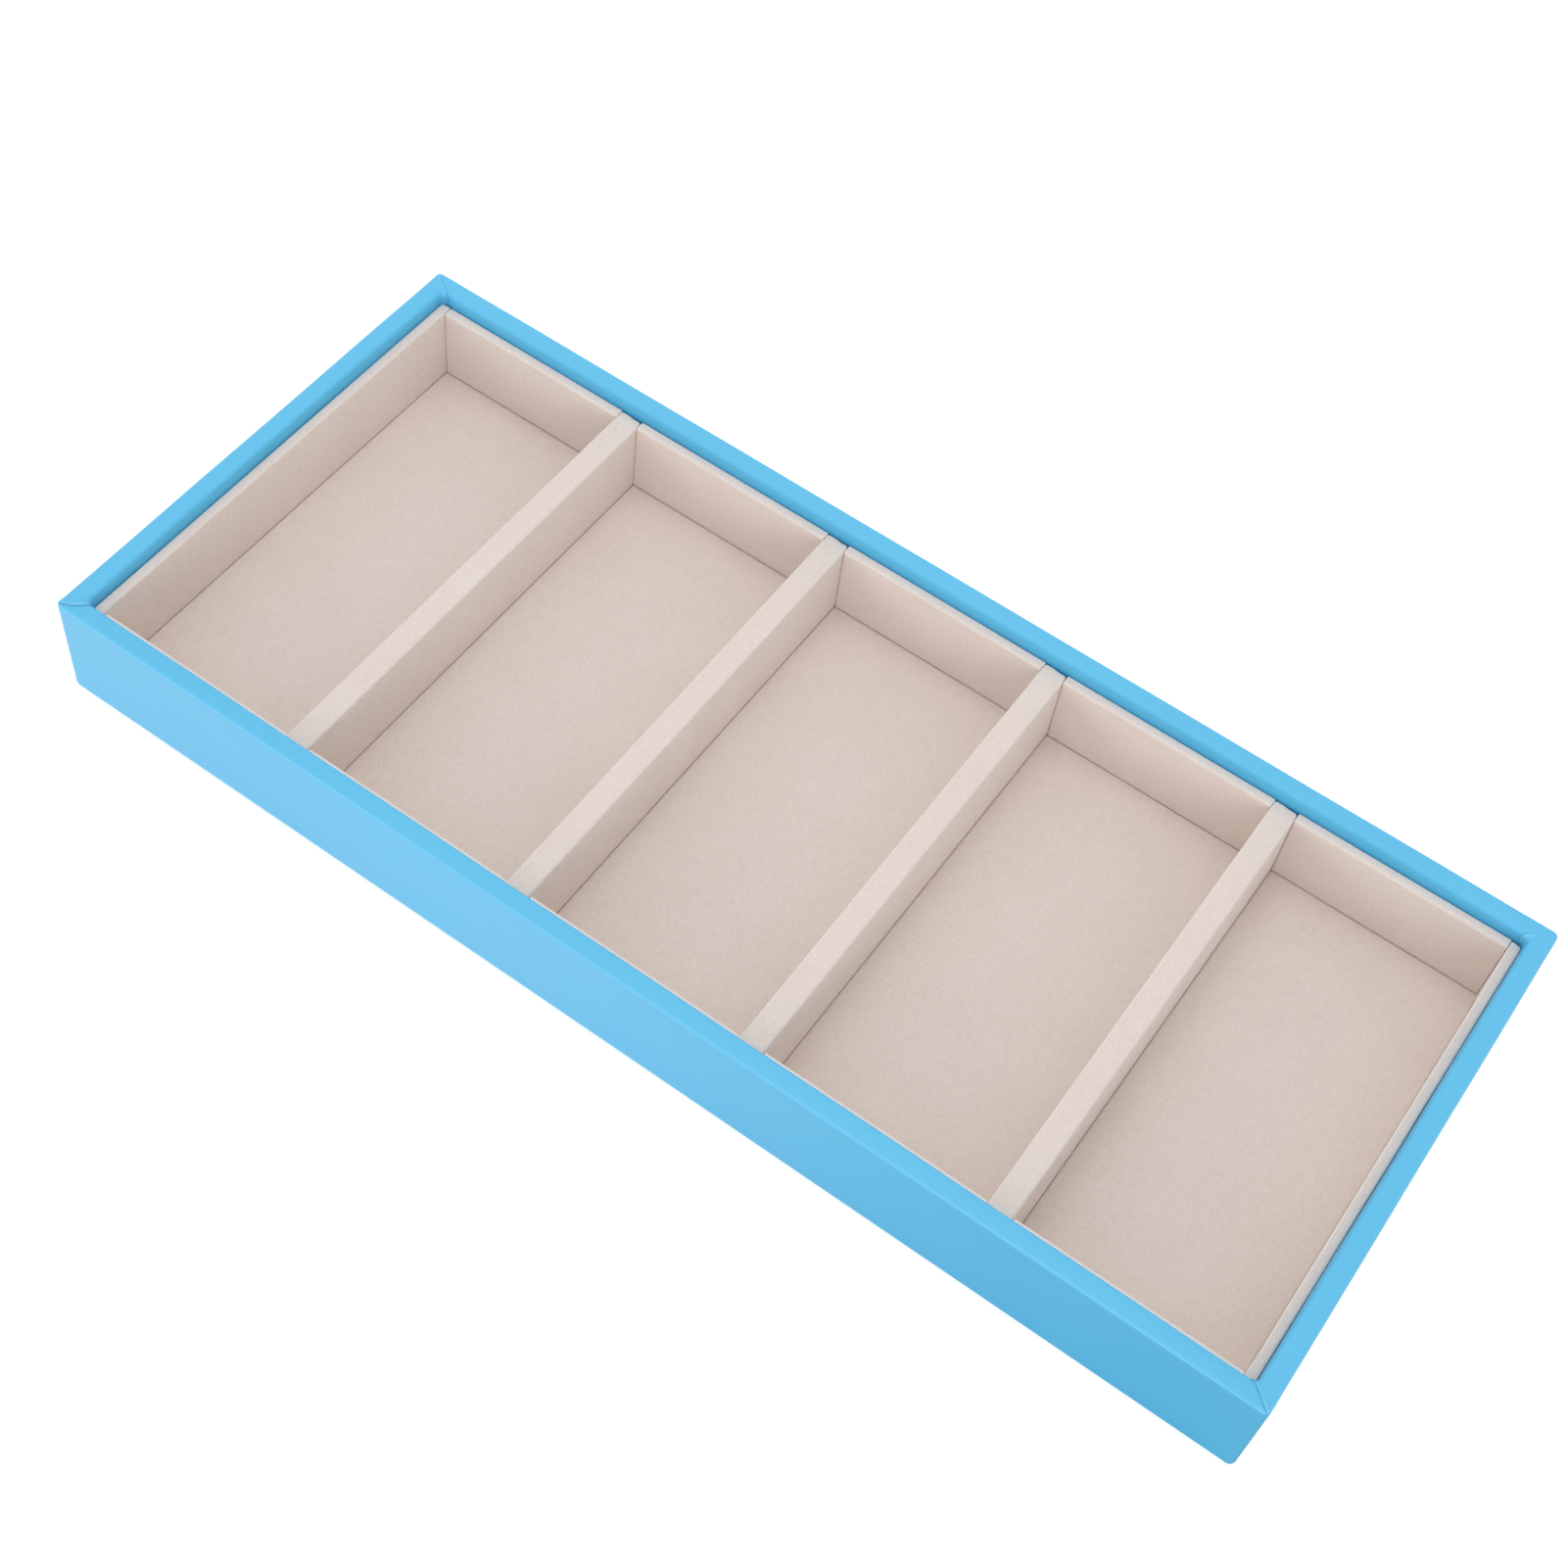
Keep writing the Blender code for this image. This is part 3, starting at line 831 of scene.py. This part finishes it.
# The camera's turn is a turn about Z after a tilt about X after a roll about Y.
def makeCamera():
    data = bpy.data.cameras.new("camera")
    data.sensor_width = camera["sensor"]
    data.lens = camera["focalPixels"] / camera["framePixels"] * camera["sensor"]
    data.clip_start, data.clip_end = camera["clip"]
    viewer = bpy.data.objects.new("camera", data)
    viewer.rotation_mode = "YXZ"
    angles = [math.radians(camera[name]) for name in ("tilt", "roll", "turn")]
    viewer.rotation_euler = Euler(angles, "YXZ")
    viewer.location = camera["place"]
    bpy.context.scene.collection.objects.link(viewer)
    bpy.context.scene.camera = viewer


makeCamera()


# Stage: a pale floor, soft lamps and a white surround. The floor's reflection fades towards the right of the
# front wall, as it does under a lamp that stands on the left. From below the floor is clear, so that it
# doesn't show white in the slits of the underside.
stage = {
    "floorSize": 8.0,
    "floorColor": (0.80, 0.80, 0.80, 1),
    "mottle": {"scale": 60.0, "low": 0.985},
    "seen": {"color": (0.60, 0.60, 0.60, 1), "glow": 0.66},
    "mirrored": {"bright": -0.06, "dark": 0.20, "glow": 0.92, "color": (0.34, 0.34, 0.34, 1)},
    "surround": 0.80,
    "mirroredSurround": 2.6,
    "lamps": {
        "frontLeft": {"place": (-1.6, -2.2, 0.8), "aim": (0, 0, 0.02), "size": (1.7, 1.0), "power": 8.0},
        "frontRight": {"place": (1.3, -2.2, 0.6), "aim": (0, 0, 0.02), "size": (1.5, 1.0), "power": 13.0},
        "overhead": {"place": (-0.1, 0.12, 1.2), "aim": (0, 0, 0), "size": (0.5, 0.6), "power": 2.2},
    },
}


# The floor's colour is the seen one for camera rays. For glossy rays it goes from glowing to dark along X.
def makeStage():
    material, nodes, shader, place = newMaterial("pale floor", {"Roughness": 0.9, "Specular IOR Level": 0.0})
    path = nodes.add("ShaderNodeLightPath").outputs
    across = nodes.add("ShaderNodeSeparateXYZ", {"Vector": place}).outputs["X"]
    ends = {"From Min": stage["mirrored"]["bright"], "From Max": stage["mirrored"]["dark"]}
    fade = nodes.add("ShaderNodeMapRange", {"Value": across} | ends, interpolation_type="SMOOTHSTEP")
    shade = nodes.math("MULTIPLY", fade.outputs[0], path["Is Glossy Ray"])
    low = tuple(stage["mottle"]["low"] * part for part in stage["floorColor"][:3]) + (1,)
    pale = nodes.mix(nodes.noise(place, stage["mottle"]["scale"]), low, stage["floorColor"])
    pale = nodes.mix(path["Is Camera Ray"], pale, stage["seen"]["color"])
    nodes.put(shader.inputs["Base Color"], nodes.mix(shade, pale, stage["mirrored"]["color"]))
    shine = nodes.math("SUBTRACT", path["Is Glossy Ray"], shade)
    shine = nodes.math("MULTIPLY", shine, stage["mirrored"]["glow"])
    glow = nodes.math("MULTIPLY_ADD", path["Is Camera Ray"], stage["seen"]["glow"], shine)
    shader.inputs["Emission Strength"].default_value = 1.0
    white = nodes.add("ShaderNodeCombineColor", {"Red": glow, "Green": glow, "Blue": glow})
    nodes.put(shader.inputs["Emission Color"], white.outputs[0])
    behind = nodes.add("ShaderNodeNewGeometry").outputs["Backfacing"]
    nodes.put(shader.inputs["Alpha"], nodes.math("SUBTRACT", 1.0, behind))
    half = stage["floorSize"] / 2
    mesh = bpy.data.meshes.new("pale_floor")
    corners = [(-half, -half, 0), (half, -half, 0), (half, half, 0), (-half, half, 0)]
    mesh.from_pydata(corners, [], [(0, 1, 2, 3)])
    mesh.materials.append(material)
    ground = bpy.data.objects.new("pale_floor", mesh)
    bpy.context.scene.collection.objects.link(ground)
    for name, lamp in stage["lamps"].items():
        data = bpy.data.lights.new(name, "AREA")
        data.shape = "RECTANGLE"
        data.size, data.size_y = lamp["size"]
        data.energy = lamp["power"]
        light = bpy.data.objects.new(name, data)
        light.location = lamp["place"]
        towards = Vector(lamp["aim"]) - Vector(lamp["place"])
        light.rotation_euler = towards.to_track_quat("-Z", "Y").to_euler()
        bpy.context.scene.collection.objects.link(light)
    world = bpy.data.worlds.new("white surround")
    world.use_nodes = True
    nodes = Nodes(world.node_tree)
    path = nodes.add("ShaderNodeLightPath").outputs
    seen = nodes.math("MULTIPLY_ADD", path["Is Camera Ray"], 1 - stage["surround"], stage["surround"])
    more = stage["mirroredSurround"] - stage["surround"]
    level = nodes.math("MULTIPLY_ADD", path["Is Glossy Ray"], more, seen)
    background = world.node_tree.nodes["Background"]
    background.inputs["Color"].default_value = (1, 1, 1, 1)
    nodes.put(background.inputs["Strength"], level)
    bpy.context.scene.world = world
    bpy.context.scene.view_settings.view_transform = "Standard"


makeStage()
print("camera and stage set")
